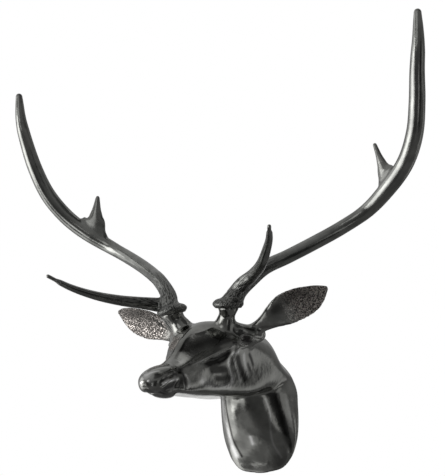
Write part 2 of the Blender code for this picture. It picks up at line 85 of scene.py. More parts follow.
# Fineness of the skins, and of the bodies that melt together in them
HEAD_GRAIN = 0.00135
ANTLER_GRAIN = 0.00095
RING_POINTS = 72
HEAD_RINGS = 96
NECK_RINGS = 72
EAR_POINTS = 64
EAR_RINGS = 72
STUMP_POINTS = 40
STUMP_RINGS = 16
BEAM_POINTS = 40
BEAM_RINGS = 120
BURR_POINTS = 64
TINE_POINTS = 32
BROW_TINE_RINGS = 70
UPPER_TINE_RINGS = 40
BALL_POINTS = 48
BALL_RINGS = 32
LINE_POINTS = 80  # along a line that is carved
MARK_POINTS = 40  # along a line that is blackened or buffed
PULL_IN = 0.55  # of the way to the middle of its neighbours, for a corner of a skin that is evened out
LET_OUT = 0.57
CRISP_ANGLE = 50  # degrees between two faces, past which their edge stays crisp

# One per cent of the head's reach, the unit of its proportions
HEAD_SHARE = HEAD_DEPTH / 100
# One per cent of an antler's rise, the unit of its routes
ANTLER_SHARE = ANTLER_RISE / 100

# The head in upright slices, from the wall to the muzzle: forward, crown height, then half width and
# height of the temple, the facial crest, the cheek and the edge of the jaw, and the height of the throat
HEAD_SLICES = (
    (0.0, 28.0, (3.2, 26.2), (9.4, 16.0), (15.2, 9.4), (12.9, 3.4), 1.7),
    (17.2, 29.2, (8.6, 26.6), (15.0, 18.5), (15.9, 11.2), (13.7, 4.3), 2.1),
    (30.0, 28.8, (10.3, 25.8), (15.5, 19.3), (15.0, 11.2), (12.0, 0.0), -1.3),
    (42.9, 28.3, (11.2, 25.3), (15.7, 18.9), (13.7, 8.6), (9.9, -2.1), -3.0),
    (52.8, 27.0, (9.4, 24.5), (15.5, 18.0), (12.7, 7.7), (8.2, -3.2), -4.3),
    (60.1, 24.0, (6.4, 21.5), (12.7, 15.0), (10.7, 6.4), (7.1, -4.1), -5.2),
    (67.8, 18.9, (4.3, 15.5), (8.6, 8.8), (8.6, 3.0), (6.7, -4.7), -5.8),
    (76.4, 10.5, (3.0, 8.4), (6.2, 4.3), (6.4, -0.4), (5.8, -5.4), -6.2),
    (83.7, 5.2, (2.6, 3.9), (4.9, 0.9), (5.6, -2.6), (4.7, -5.6), -6.7),
    (88.4, 3.0, (2.1, 2.1), (3.9, -0.9), (4.3, -3.4), (3.4, -6.0), -6.9),
)
# The neck in level slices, from its foot to its nape: height, half width on the wall, and depth
NECK_SLICES = (
    (-30.0, 2.0, 0.5),
    (-27.9, 10.6, 1.9),
    (-23.7, 14.4, 3.8),
    (-18.9, 16.4, 7.2),
    (-14.6, 17.4, 11.2),
    (-8.2, 17.8, 15.2),
    (-1.7, 17.6, 18.2),
    (3.9, 17.3, 19.7),
    (11.2, 14.5, 19.7),
    (18.7, 8.4, 16.3),
    (27.0, 3.0, 8.6),
)

# The eggs of the muzzle and the chin: the middle, the half sizes, the tilt forward in degrees, and the
# squareness, which is one for a true egg and less for a squarer one
SNOUT_BALLS = (
    ((0.0, 88.6, -2.1), (6.0, 10.6, 4.9), 22, 0.86),
    ((0.0, 86.8, -6.6), (4.6, 8.2, 2.4), -3, 1.0),
)
# Swells that fill the roots of an ear and its stump: the middle and the half sizes
ROOT_SWELLS = (
    ((13.4, 47.4, 22.4), (5.2, 6.0, 3.6)),
    ((16.2, 44.0, 21.2), (4.4, 5.8, 4.2)),
    ((18.4, 40.8, 21.9), (3.6, 3.6, 3.4)),
)
# The hollows round these roots that are filled smooth: the middle and the reach
ROOT_HOLLOWS = (((17.6, 44.5, 20.6), 6.5), ((15.2, 48.4, 23.6), 5.5))

# A stump from inside the skull to its seat, the way its seat faces, and how wide it is along the way, in
# shares of STUMP_WIDTH
STUMP_ROUTE = ((6.5, 50.5, 16.0), (9.8, 52.6, 24.4), (11.7, 54.4, 28.4), (12.9, 55.8, 30.7))
SEAT_LEAN = (0.12, 0.25, 0.96)
STUMP_SWELL = ((0.0, 1.5), (0.5, 1.5), (0.62, 1.25), (0.8, 1.0), (0.9, 1.05), (1.0, 1.3))
STUMP_BREADTH = 1.1  # how much broader than thick it is
STUMP_BROADSIDE = (0.7, 0.7, 0.0)
STUMP_EXCESS = 0.3  # of its width, past its seat, before it is cut flat

# An ear from its root: its length as a share, then its upper and its lower edge as shares of EAR_WIDTH
# up and out of its face, and how much thicker it is than EAR_THICKNESS
EAR_ROOT = (16.3, 44.6, 23.6)
EAR_ALONG = (0.905, -0.128, 0.406)
EAR_UPWARD = (-0.18, 0.75, 0.64)
EAR_CUP = 0.42  # how deep an ear is cupped, as a share of its half width
EAR_CUP_GROWTH = 2.2  # how fast the cup grows along the ear
EAR_CUP_LAG = 0.25
EAR_SQUARENESS = 0.7  # of its edges: one for an oval, less for a squarer one
EAR_LEAF = (
    (-0.12, (0.12, -0.04), (-0.26, 0.00), 3.4),
    (0.08, (0.06, -0.10), (-0.23, 0.05), 2.7),
    (0.20, (0.11, -0.15), (-0.23, 0.10), 2.0),
    (0.30, (0.22, -0.19), (-0.25, 0.15), 1.5),
    (0.40, (0.34, -0.14), (-0.30, 0.19), 1.2),
    (0.50, (0.43, -0.05), (-0.35, 0.20), 1.0),
    (0.60, (0.46, 0.04), (-0.38, 0.18), 1.0),
    (0.70, (0.43, 0.07), (-0.39, 0.16), 1.0),
    (0.80, (0.33, 0.05), (-0.36, 0.12), 1.0),
    (0.90, (0.21, 0.02), (-0.25, 0.07), 0.95),
    (0.96, (0.11, 0.01), (-0.14, 0.03), 0.9),
    (1.00, (0.03, 0.00), (-0.05, 0.00), 0.8),
)

# The eye and the lids round it
EYE_MIDDLE = (18.0, 48.4, 18.0)
FRONT_CORNER = (15.5, 53.8, 16.2)
BACK_CORNER = (19.5, 42.2, 18.7)
UPPER_LID = (FRONT_CORNER, (15.9, 52.2, 18.3), (17.0, 49.9, 20.0), (18.8, 47.4, 19.9), BACK_CORNER)
LOWER_LID = (FRONT_CORNER, (16.0, 51.1, 15.2), (16.6, 47.0, 16.0), (17.6, 44.2, 17.0), BACK_CORNER)

# The antlers from the middle of their seats: out to the side, forward and up
BEAM_ROUTE = (
    (0.0, 0.0, 0.0),
    (1.9, -0.8, 3.4),
    (3.5, -3.1, 7.3),
    (6.5, -5.6, 11.2),
    (10.3, -8.0, 15.2),
    (17.1, -13.9, 20.1),
    (25.5, -19.6, 25.7),
    (34.7, -24.0, 31.4),
    (44.1, -25.9, 37.1),
    (53.8, -23.0, 43.6),
    (62.5, -19.2, 51.3),
    (68.2, -14.1, 60.0),
    (71.2, -9.3, 69.5),
    (73.1, -5.3, 79.5),
    (74.9, -2.7, 90.1),
    (75.5, -1.5, 100.0),
)
BROW_TINE_ROUTES = {
    "left": (
        (0.8, -2.3, 4.8),
        (5.0, -0.7, 8.0),
        (10.8, 2.6, 10.0),
        (16.2, 7.6, 11.2),
        (20.5, 12.9, 12.3),
        (24.5, 18.3, 14.2),
        (28.7, 24.8, 15.7),
        (33.8, 35.0, 17.2),
    ),
    "right": (
        (1.8, -2.8, 3.6),
        (5.9, -1.8, 4.4),
        (10.4, 3.6, 4.6),
        (16.4, 11.3, 4.8),
        (22.3, 18.6, 5.8),
        (28.0, 26.7, 7.9),
        (32.8, 33.3, 11.0),
    ),
}
# The foot and the tip of each upper tine, and how broad it is beside the other
UPPER_TINES = {
    "left": ((54.9, -22.4, 44.6), (49.6, -22.4, 60.9), 0.8),
    "right": ((51.2, -23.4, 42.6), (49.2, -22.4, 58.2), 1.15),
}
UPPER_TINE_BROADSIDE = (0.75, 0.27, 0.6)

# The width of a beam at shares of its route
BEAM_WIDTHS = (
    (0.0, FOOT_WIDTH),
    (0.05, 0.45 * (FOOT_WIDTH + BEAM_WIDTH)),
    (0.12, 1.04 * BEAM_WIDTH),
    (0.20, BEAM_WIDTH),
    (0.42, BEAM_WIDTH),
    (0.56, CROWN_WIDTH),
    (0.68, CROWN_WIDTH),
    (0.80, 0.92 * CROWN_WIDTH),
    (0.90, 0.80 * CROWN_WIDTH),
    (0.97, 0.5 * (0.70 * CROWN_WIDTH + POINT_WIDTH)),
    (1.0, POINT_WIDTH),
)
# A burr from its underside: how high in shares of BURR_HEIGHT and how wide in shares of BURR_WIDTH
BURR_STEPS = (
    (-0.4, 0.7),
    (0.0, 0.78),
    (0.2, 0.92),
    (0.45, 1.0),
    (0.7, 0.99),
    (1.0, 0.87),
    (1.2, 0.7),
    (1.25, 0.1),
)
# At shares of a tine's route, its width in shares of its driving width, how much broader than thick the
# upper tine is there, and how far it lies flush with its beam
BROW_TINE_SWELL = ((0.0, 1.3), (0.12, 1.2), (0.25, 1.0), (0.6, 0.74), (0.9, 0.48), (1.0, 0.0))
UPPER_TINE_SWELL = ((0.0, 1.2), (0.3, 1.0), (0.6, 0.8), (1.0, 0.45))
UPPER_TINE_BREADTH = ((0.0, 3.9), (0.2, 3.5), (0.35, 2.6), (0.5, 1.8), (0.7, 1.35), (1.0, 1.0))
UPPER_TINE_SLANT = ((0.0, 1.0), (0.3, 1.0), (0.5, 0.0), (1.0, 0.0))

# Lines that are carved into the face
CREST = ((14.8, 55.6, 14.8), (12.5, 59.9, 12.6), (10.6, 64.0, 10.5), (8.7, 68.7, 7.9), (7.1, 74.7, 5.1))
UNDER_CREST = ((13.5, 56.7, 12.2), (11.7, 60.2, 9.8), (10.1, 63.9, 8.1), (8.5, 67.4, 6.5))
NOSE_RIDGE = (
    (2.1, 79.2, 7.1),
    (1.5, 76.7, 9.6),
    (1.4, 73.5, 12.5),
    (1.4, 70.0, 16.3),
    (2.2, 66.9, 18.9),
)
BROW_RIDGE = ((3.2, 65.4, 19.6), (5.1, 62.2, 20.8), (6.9, 58.0, 23.4))
MUZZLE_CREASE = (
    (4.9, 82.6, 2.4),
    (5.4, 81.0, 1.5),
    (6.0, 78.9, -0.6),
    (6.0, 78.1, -2.8),
    (5.8, 77.7, -5.1),
)
NOSTRIL = ((4.8, 95.1, -4.8), (5.2, 94.2, -3.9), (5.7, 92.2, -2.9), (5.9, 88.8, -1.3), (5.5, 84.6, 0.0))
NOSTRIL_LIP = ((5.2, 94.0, -5.1), (5.9, 91.7, -4.0), (6.1, 88.4, -3.2), (5.7, 83.1, -1.6))
MOUTH = ((0.0, 97.4, -6.9), (1.1, 96.0, -7.6), (2.3, 91.0, -7.9), (3.7, 84.0, -7.3))
# The width of each carved line, and how far it rises or sinks
FACE_LINES = (
    (CREST, 0.9, 0.5),
    (UNDER_CREST, 1.3, -0.5),
    (NOSE_RIDGE, 0.7, 0.25),
    (BROW_RIDGE, 0.7, 0.25),
    (MUZZLE_CREASE, 0.9, -0.25),
    (NOSTRIL, 0.7, -0.35),
    (NOSTRIL_LIP, 0.8, 0.2),
    (MOUTH, 0.7, -0.5),
)
# More lines on the face, the ears and the neck, where shade or highlights are painted onto the metal
CREST_SHADE = ((9.8, 64.4, 6.9), (11.4, 59.9, 9.1), (13.5, 56.2, 11.5))
SHADE_STREAK = ((9.6, 64.9, 5.6), (10.7, 60.4, 6.4), (12.0, 56.8, 7.8))
CHEEK_STREAK = ((9.7, 61.8, 2.9), (10.6, 57.7, 3.5))
CHEEK_STRIP = ((14.1, 54.3, 11.6), (13.4, 50.8, 8.9), (12.8, 47.0, 5.9), (12.4, 43.9, 3.1))
CHEEK_ARC = (
    (11.5, 49.7, 1.9),
    (12.0, 51.6, 4.3),
    (12.8, 55.2, 9.1),
    (13.6, 55.7, 11.2),
    (14.9, 51.5, 13.2),
)
CHEEK_THREAD = ((13.6, 54.0, 10.4), (12.8, 49.6, 6.7), (12.2, 46.4, 3.2))
CHEEK_SLIT = ((14.3, 50.1, 11.1), (13.5, 47.1, 8.7), (13.1, 43.9, 6.1), (12.9, 41.0, 3.9))
SLIT_EDGE = ((14.9, 46.2, 12.9), (14.0, 43.2, 9.4), (13.5, 39.2, 5.4))
REAR_SLIT = ((15.3, 41.7, 13.7), (14.9, 39.3, 12.3), (14.5, 36.9, 10.4))
SLIT_TAIL = ((14.2, 40.9, 10.0), (13.9, 38.2, 7.8))
CHEEK_HOLLOW = ((9.8, 62.8, 4.3), (10.7, 58.7, 5.1), (11.9, 54.5, 5.8))
CHEEK_PATCH = ((9.8, 59.5, 1.4), (10.6, 56.0, 1.9), (11.5, 52.8, 3.1))
CHEEK_FRONT = ((7.9, 70.0, -0.9), (8.6, 64.7, -1.2), (9.6, 56.6, -1.0), (10.8, 50.3, 0.1))
CHEEK_START = ((7.3, 72.2, -0.7), (7.5, 70.8, -1.0))
BROW = ((3.3, 72.8, 11.3), (5.4, 68.6, 13.8), (8.0, 64.5, 16.0), (11.0, 61.0, 16.5), (13.1, 57.3, 17.9))
NOSE_SIDE = ((2.3, 79.2, 7.0), (1.9, 76.7, 9.6), (1.8, 73.5, 12.5), (1.7, 70.0, 16.3), (2.4, 66.9, 18.9))
NOSE_BRIDGE = ((1.3, 83.3, 5.0), (2.6, 79.8, 6.6), (3.9, 78.6, 5.9))
JAW = ((6.3, 75.4, -4.8), (7.2, 64.3, -4.1), (8.9, 50.6, -2.7), (11.5, 37.8, -0.7), (14.1, 17.9, 4.9))
NOSE_TIP = ((-1.2, 98.5, -5.0), (0.6, 98.6, -5.3))
NOSE_FRONT = ((0.1, 97.5, -2.4), (1.2, 97.6, -3.6), (1.8, 97.2, -5.6))
NOSE_SPOT = ((1.2, 98.5, -4.7), (1.7, 98.4, -4.9))
NOSE_STREAK = ((0.1, 97.5, -1.9), (1.7, 96.2, -0.9), (3.6, 94.2, -0.3))
NOSE_ARC = ((0.7, 96.8, -1.3), (1.4, 95.0, 0.1), (2.5, 92.8, 1.1), (4.3, 88.3, 2.0))
NOSTRIL_PIT = ((4.8, 95.1, -4.8), (5.2, 94.3, -4.0))
MUZZLE_TOP = ((3.7, 95.3, -1.4), (5.2, 92.0, -0.4), (5.6, 87.2, 0.4))
MUZZLE_SIDE = ((5.0, 90.9, -6.4), (5.5, 84.0, -4.1), (6.0, 80.2, -1.9))
MUZZLE_ROOT = ((5.5, 84.4, -0.2), (5.2, 80.7, 2.3), (6.3, 75.3, 5.2))
MUZZLE_FOLD = ((5.9, 79.2, 1.1), (6.5, 76.2, -1.2), (6.3, 75.9, -4.3))
LOWER_LIP = ((1.0, 92.8, -8.5), (2.2, 89.4, -8.6))
EYE_BALL = ((17.5, 50.2, 17.8), (18.0, 48.4, 18.0), (18.6, 46.6, 18.2))
EYE_FRONT = ((15.0, 55.2, 16.4), (15.6, 53.6, 16.6))
UNDER_EYE = ((15.0, 53.4, 13.7), (15.5, 53.2, 15.3))
EAR_PIT = ((18.5, 48.8, 23.0), (18.9, 47.8, 22.7), (20.2, 45.8, 22.1))
STUMP_SIDE = ((17.0, 51.2, 20.9), (17.4, 51.0, 21.9), (17.2, 50.8, 23.4))
EAR_TOP = (
    (27.1, 43.6, 29.7),
    (29.9, 43.8, 32.1),
    (33.1, 44.3, 34.0),
    (36.9, 44.7, 35.7),
    (41.6, 42.8, 36.5),
)
EAR_RIM = (
    (30.0, 45.2, 34.4),
    (26.6, 44.0, 32.1),
    (24.3, 44.2, 31.5),
    (21.6, 44.1, 28.8),
    (19.3, 45.0, 26.6),
)
EAR_GROOVE = ((33.4, 46.6, 35.0), (29.3, 45.1, 32.7), (26.6, 44.0, 30.7), (22.5, 44.3, 27.3))
# A line on the left of the neck where a highlight is painted
NECK_BRIGHT_LINE = (
    (9.6, 15.5, -0.8),
    (10.4, 13.3, -5.8),
    (9.4, 10.5, -13.0),
    (8.7, 6.0, -19.0),
    (10.6, 2.4, -24.0),
)
NECK_SIDE = ((13.0, 12.7, 0.2), (14.1, 9.2, -8.4), (14.4, 5.7, -15.6), (15.0, 3.0, -19.5))
NECK_BACK = ((16.0, 7.5, -1.2), (16.8, 5.0, -8.0))
NECK_LINE = ((9.4, 15.8, 0.0), (9.6, 11.5, -11.0), (9.1, 5.6, -19.4), (7.9, 3.8, -22.7))
NECK_EDGE = (
    (12.0, 13.6, -0.5),
    (12.3, 11.4, -6.9),
    (11.7, 9.5, -12.5),
    (11.8, 5.8, -17.9),
    (10.8, 3.4, -22.0),
)
NECK_STREAK = ((6.6, 15.6, -4.9), (5.3, 14.0, -9.1), (5.0, 11.4, -13.6), (4.9, 6.6, -19.3))
NECK_TOP = ((6.9, 17.0, -0.8), (2.7, 17.9, -1.9), (-1.4, 17.5, -3.3))
NECK_SPOT = ((0.3, 10.3, -15.7), (0.5, 7.8, -18.2))
# The marks along these lines: the width, and how dark the painted shade of each is, or how bright its
# painted highlight where it is negative
HEAD_MARKS = (
    (CREST, 0.45, -0.5),
    (UNDER_CREST, 1.0, 0.8),
    (CREST_SHADE, 2.7, 1.2),
    (SHADE_STREAK, 0.4, -0.3),
    (CHEEK_ARC, 1.0, -1.1),
    (CHEEK_STRIP, 0.9, -0.5),
    (CHEEK_THREAD, 0.35, 0.6),
    (CHEEK_SLIT, 1.5, 1.4),
    (SLIT_EDGE, 1.0, -0.5),
    (REAR_SLIT, 0.9, 1.2),
    (SLIT_TAIL, 0.9, 0.9),
    (CHEEK_HOLLOW, 1.9, 1.1),
    (CHEEK_PATCH, 1.6, 1.1),
    (CHEEK_STREAK, 0.4, -0.6),
    (CHEEK_FRONT, 1.5, -0.5),
    (CHEEK_START, 1.6, 0.35),
    (BROW, 2.6, 0.75),
    (NOSE_SIDE, 0.6, 0.8),
    (NOSE_BRIDGE, 2.0, -0.2),
    (JAW, 0.5, 0.9),
    (NOSE_TIP, 0.9, 0.6),
    (NOSE_FRONT, 1.9, -0.35),
    (NOSE_SPOT, 0.5, -1.2),
    (NOSE_STREAK, 0.5, -1.0),
    (NOSE_ARC, 0.4, -0.4),
    (NOSTRIL, 0.5, 1.0),
    (NOSTRIL_PIT, 0.8, 1.0),
    (NOSTRIL_LIP, 0.5, -1.8),
    (MUZZLE_TOP, 1.1, 0.7),
    (MUZZLE_SIDE, 2.7, 0.95),
    (MUZZLE_ROOT, 0.9, 0.6),
    (MUZZLE_CREASE, 0.7, 0.6),
    (MUZZLE_FOLD, 0.7, -0.35),
    (LOWER_LIP, 0.4, -1.0),
    (MOUTH, 0.4, 0.8),
    (EYE_BALL, 0.9, 1.0),
    (EYE_FRONT, 0.6, 0.9),
    (UNDER_EYE, 0.9, 0.7),
    (EAR_PIT, 1.6, 0.8),
    (STUMP_SIDE, 1.0, -0.25),
    (EAR_TOP, 2.2, 0.5),
)
# Marks of painted shade and highlights that only one side of the head has
SIDE_MARKS = {
    "left": (
        (NECK_BRIGHT_LINE, 0.5, -0.5),
        (NECK_SIDE, 1.5, 0.8),
        (NECK_BACK, 1.2, -0.25),
    ),
    "right": (
        (EAR_RIM, 0.45, -1.0),
        (EAR_GROOVE, 0.5, 0.9),
        (NECK_LINE, 0.55, 1.4),
        (NECK_EDGE, 1.7, -1.0),
        (NECK_STREAK, 1.6, 0.25),
        (NECK_TOP, 2.2, 0.7),
        (NECK_SPOT, 0.8, -0.9),
    ),
}
# Two painted highlight lines at the foot of the left antler, with painted shade in a wedge between them
TINE_HIGHLIGHT_LINE = ((17.1, 58.2, 35.4), (19.0, 57.1, 37.5), (22.2, 58.5, 38.9))
BEAM_HIGHLIGHT_LINE = ((18.6, 56.8, 35.3), (20.0, 54.5, 37.0), (20.9, 51.9, 39.0))
SHADE_WEDGE = ((18.2, 57.8, 35.6), (20.2, 56.0, 37.8))
ANTLER_MARKS = {
    "left": (
        (TINE_HIGHLIGHT_LINE, 0.25, -1.0),
        (BEAM_HIGHLIGHT_LINE, 0.25, -1.0),
        (SHADE_WEDGE, 0.6, 0.8),
    ),
    "right": (),
}

# The room as the metal mirrors it. A soft box or a dark flag has its turn in degrees from the front,
# positive to the deer's left, its height above the horizon, its softness and its light, and lies over
# those before it.
GROUND_LIGHT = 0.11
SKY_LIGHT = 0.3
SOFT_BOXES = (
    ((-185, -20), (20, 95), 24, 0.37),
    ((50, 118), (28, 95), 16, 0.07),
    ((118, 146), (58, 74), 8, 0.6),
    ((-128, -96), (-45, 20), 14, 0.4),
    ((-165, -144), (-9, 14), 6, 0.75),
    ((-92, -52), (-66, -36), 12, 0.55),
    ((-56, -24), (-62, -34), 14, 0.22),
    ((-98, -66), (-38, 12), 8, 1.1),
    ((-72, -34), (-24, 16), 9, 2.8),
    ((-95, -50), (14, 42), 12, 0.9),
    ((-38, -24), (-32, 0), 8, 1.6),
    ((-16, 6), (8, 32), 9, 0.8),
    ((-12, 34), (-52, -14), 12, 0.07),
    ((38, 50), (-40, -12), 6, 0.4),
    ((54, 84), (-40, 8), 8, 0.03),
    ((86, 112), (-8, 10), 8, 0.32),
    ((113, 121), (-30, 5), 6, 0.07),
    ((122, 133), (-34, 6), 6, 0.5),
    ((136, 142), (-34, 4), 5, 0.05),
    ((144, 156), (-34, 8), 6, 0.45),
    ((160, 200), (-40, 12), 12, 0.14),
)

# Where the stipple of an ear begins and where it is full, in shares of the ear's length, and how
# squarely the skin has to face out of the ear for it to begin and to be full
STIPPLE_STARTS = {"left": (0.42, 0.62), "right": (0.10, 0.25)}
STIPPLE_FACING = (0.35, 0.65)

# How far from the seat the grain of an antler begins to fade and over how far, in shares of ANTLER_RISE,
# the faintest that it gets, and how much it is drawn out along the horn
GRAIN_FADE_START = 0.12
GRAIN_FADE = 0.22
GRAIN_LEAST = 0.12
GRAIN_STRETCH = 0.12
GRAIN_ASIDE = (0.3, 1.0, 0.2)  # a direction that no horn runs along, to lay the grain's sides by

# The colours of the metals: of the smooth metal and of its stipple's peaks, and of the painted
# highlights.
# Then how much darker the mottles, the painted shade and the grain's streaks, and the stipple's pits
# are.
HEAD_COLOUR = (0.40, 0.402, 0.38)
HEAD_STIPPLE = (0.68, 0.63, 0.59)
ANTLER_COLOUR = (0.40, 0.405, 0.385)
ANTLER_STIPPLE = (0.40, 0.37, 0.35)
# The painted highlights turn the metal towards this colour
PAINTED_HIGHLIGHT_COLOUR = (0.86, 0.86, 0.85)
MOTTLE_SHADE = 0.72
BLACK_SHADE = 0.12
PIT_SHADE = 0.1
MATTING = 0.2  # how much rougher the metal is where it is stippled or grained

FLOOR_RADIUS = 0.7
FLOOR_MIDDLE = (0.0, -0.1, -0.45)
FLOOR_COLOUR = (0.8, 0.8, 0.8, 1.0)
FLOOR_ROUGHNESS = 0.8

CAMERA_LENS = 102.1  # millimetres
CAMERA_PLACE = (0.84282, -1.70227, -0.28355)
CAMERA_AIM = (0.0, -0.11716, 0.21431)

# The deer's own sides
SIDES = {"left": 1.0, "right": -1.0}


def bend(points, knots, spread):
    """Places on the smooth curve that passes the points at their knots."""
    slopes = np.gradient(points, knots, axis=0)
    index = np.clip(np.searchsorted(knots, spread, side="right") - 1, 0, len(knots) - 2)
    length = (knots[index + 1] - knots[index])[:, None]
    t = (spread - knots[index])[:, None] / length
    start = (1 + 2 * t) * (1 - t) ** 2 * points[index] + t * (1 - t) ** 2 * length * slopes[index]
    end = t * t * (3 - 2 * t) * points[index + 1] + t * t * (t - 1) * length * slopes[index + 1]
    return start + end


def distances(points):
    """How far along a line of points each of them lies."""
    steps = np.linalg.norm(np.diff(points, axis=0), axis=1)
    return np.concatenate([[0.0], np.cumsum(steps)])


def curve(points, count):
    """Even places on a smooth curve through the given points, from the first to the last."""
    points = np.array(points, dtype=float)
    knots = distances(points)
    return bend(points, knots, np.linspace(0.0, knots[-1], count))


def loop(points, count):
    """Even places on a smooth closed curve through the given points."""
    size = len(points)
    turns = np.array([points[i % size] for i in range(-2, size + 3)], dtype=float)
    knots = distances(turns)
    return bend(turns, knots, np.linspace(knots[2], knots[2 + size], count, endpoint=False))


def shares(stops, count):
    """Values at even steps between stops that give a share of the whole and a value."""
    places, values = zip(*stops)
    return np.interp(np.linspace(0.0, 1.0, count), places, values)


def world(places, side=1.0):
    """Turns places given as out to the side, forward and up into X, Y and Z."""
    return np.array(places, dtype=float) * np.array([side, -1.0, 1.0])


def add_body(shape, rings):
    """Adds a closed body to the shape: a disc that is extruded from ring to ring."""
    made = bmesh.ops.create_circle(shape, cap_ends=True, segments=len(rings[0]), radius=1.0)
    first_cap = cap = made["verts"][0].link_faces[0]
    for vert, place in zip(cap.verts, rings[0]):
        vert.co = place
    for ring in rings[1:]:
        grown = bmesh.ops.extrude_face_region(shape, geom=[cap])
        if cap is not first_cap:
            shape.faces.remove(cap)
        cap = next(item for item in grown["geom"] if isinstance(item, bmesh.types.BMFace))
        for vert, place in zip(cap.verts, ring):
            vert.co = place


def add_tube(shape, route, widths, points, broad=None, broadside=(0.0, 1.0, 0.0), slants=None):
    """Adds a tube with a round end along a route. Where it is broad, it is an oval along broadside.

    A slant of one keeps an oval flush with broadside, and without one it stands square to the route. The
    rings of the round end lie at shares of a quarter turn.
    """
    broad = np.ones(len(route)) if broad is None else broad
    slants = np.zeros(len(route)) if slants is None else slants
    directions = np.gradient(np.array(route), axis=0)
    angles = [2 * math.pi * i / points for i in range(points)]
    sideways = Vector(broadside)
    rings = []

    def add_ring(place, width, breadth):
        long_way = sideways * (breadth * width / 2)
        short_way = other * (width / 2)
        rings.append([place + long_way * math.cos(a) + short_way * math.sin(a) for a in angles])

    for place, direction, width, breadth, slant in zip(route, directions, widths, broad, slants):
        along = Vector(direction).normalized()
        sideways = (sideways - along * (sideways.dot(along) * (1 - slant))).normalized()
        other = along.cross(sideways).normalized()
        add_ring(Vector(place), width, breadth)
    for lift in (0.2, 0.4, 0.6, 0.8, 0.93):
        turn = lift * math.pi / 2
        past_end = along * (math.sin(turn) * widths[-1] / 2)
        add_ring(Vector(route[-1]) + past_end, widths[-1] * math.cos(turn), 1.0)
    add_body(shape, rings)


def add_ball(shape, middle, sizes, tilt, squareness):
    """Adds an egg of the given half sizes, tipped forward by the tilt in degrees."""
    made = bmesh.ops.create_uvsphere(shape, u_segments=BALL_POINTS, v_segments=BALL_RINGS, radius=1.0)
    turn = Matrix.Rotation(math.radians(tilt), 4, "X")
    for vert in made["verts"]:
        bulged = [math.copysign(abs(far) ** squareness, far) * size for far, size in zip(vert.co, sizes)]
        vert.co = Vector(middle) + turn @ Vector(bulged)


def mesh_object(name, shape):
    """Turns a bmesh into an object in the scene."""
    bmesh.ops.recalc_face_normals(shape, faces=shape.faces)
    mesh = bpy.data.meshes.new(name)
    shape.to_mesh(mesh)
    shape.free()
    thing = bpy.data.objects.new(name, mesh)
    bpy.context.collection.objects.link(thing)
    return thing


def settle(thing):
    """Bakes the modifiers of an object into its mesh."""
    bpy.context.view_layer.update()
    baked = bpy.data.meshes.new_from_object(thing.evaluated_get(bpy.context.evaluated_depsgraph_get()))
    thing.modifiers.clear()
    thing.data = baked


def fuse(thing, grain):
    """Melts the overlapping bodies of an object into one skin with faces of an even size."""
    melt = thing.modifiers.new("Melt", "REMESH")
    melt.mode = "VOXEL"
    melt.voxel_size = grain
    melt.adaptivity = 0.0
    settle(thing)


def read_places(mesh):
    """The corners of a mesh as an array."""
    places = np.empty(len(mesh.vertices) * 3, dtype=np.float32)
    mesh.vertices.foreach_get("co", places)
    return places.reshape(-1, 3).astype(float)


def write_places(mesh, places):
    """Puts an array of corners back into its mesh."""
    mesh.vertices.foreach_set("co", places.astype(np.float32).ravel())
    mesh.update()


def read_normals(mesh):
    """The outward direction at every corner of a mesh."""
    normals = np.empty(len(mesh.vertices) * 3, dtype=np.float32)
    mesh.vertex_normals.foreach_get("vector", normals)
    return normals.reshape(-1, 3).astype(float)


def read_edges(mesh):
    """The two corners of every edge of a mesh."""
    ends = np.empty(len(mesh.edges) * 2, dtype=np.int32)
    mesh.edges.foreach_get("vertices", ends)
    return ends.reshape(-1, 2).T


def pulls(places, edges):
    """The way from every corner to the middle of its neighbours."""
    one, two = edges
    total = np.empty_like(places)
    for axis in range(3):
        total[:, axis] = np.bincount(one, places[two, axis], len(places))
        total[:, axis] += np.bincount(two, places[one, axis], len(places))
    return total / np.bincount(edges.ravel(), minlength=len(places))[:, None] - places


def nearness(mesh, place, reach):
    """How near the corners of a mesh are to a place on either side of the head, from one to nothing."""
    places = read_places(mesh) / HEAD_SHARE
    gaps = [np.linalg.norm(places - world(place, side), axis=1) for side in SIDES.values()]
    return np.clip(1.0 - (np.minimum(*gaps) / reach) ** 2, 0.0, 1.0)


def soften(mesh, passes, share):
    """Melts bumps and edges where the share of each corner is more than nothing."""
    edges = read_edges(mesh)
    places = read_places(mesh)
    for _ in range(passes):
        places += share[:, None] * pulls(places, edges)
    write_places(mesh, places)


def write_share(mesh, name, values):
    """Keeps a value for every corner of a mesh, for its metal to read."""
    mesh.attributes.new(name, "FLOAT", "POINT").data.foreach_set("value", values.astype(np.float32))


def close_to(places, line, reach):
    """Which places lie within reach of the box round a line, and how far they are from its points."""
    near = np.all((places > line.min(axis=0) - reach) & (places < line.max(axis=0) + reach), axis=1)
    return near, np.linalg.norm(places[near][:, None] - line[None], axis=2)


def mark_skin(mesh, marks):
    """Paints shade or highlights onto the metal along the marks of each side."""
    places = read_places(mesh)
    painted_shade_and_highlight = np.zeros(len(places))
    for name, side in SIDES.items():
        for route, width, strength in marks[name]:
            line = world(curve(route, MARK_POINTS), side) * HEAD_SHARE
            near, gaps = close_to(places, line, reach=2.5 * width * HEAD_SHARE)
            painted_shade_and_highlight[near] += strength * np.exp(-(gaps.min(axis=1) / (width * HEAD_SHARE)) ** 2)
    # Painted shade where the sum is positive, painted highlights where it is negative
    write_share(mesh, "painted_shade_and_highlight", np.clip(painted_shade_and_highlight, -1.0, 1.0))


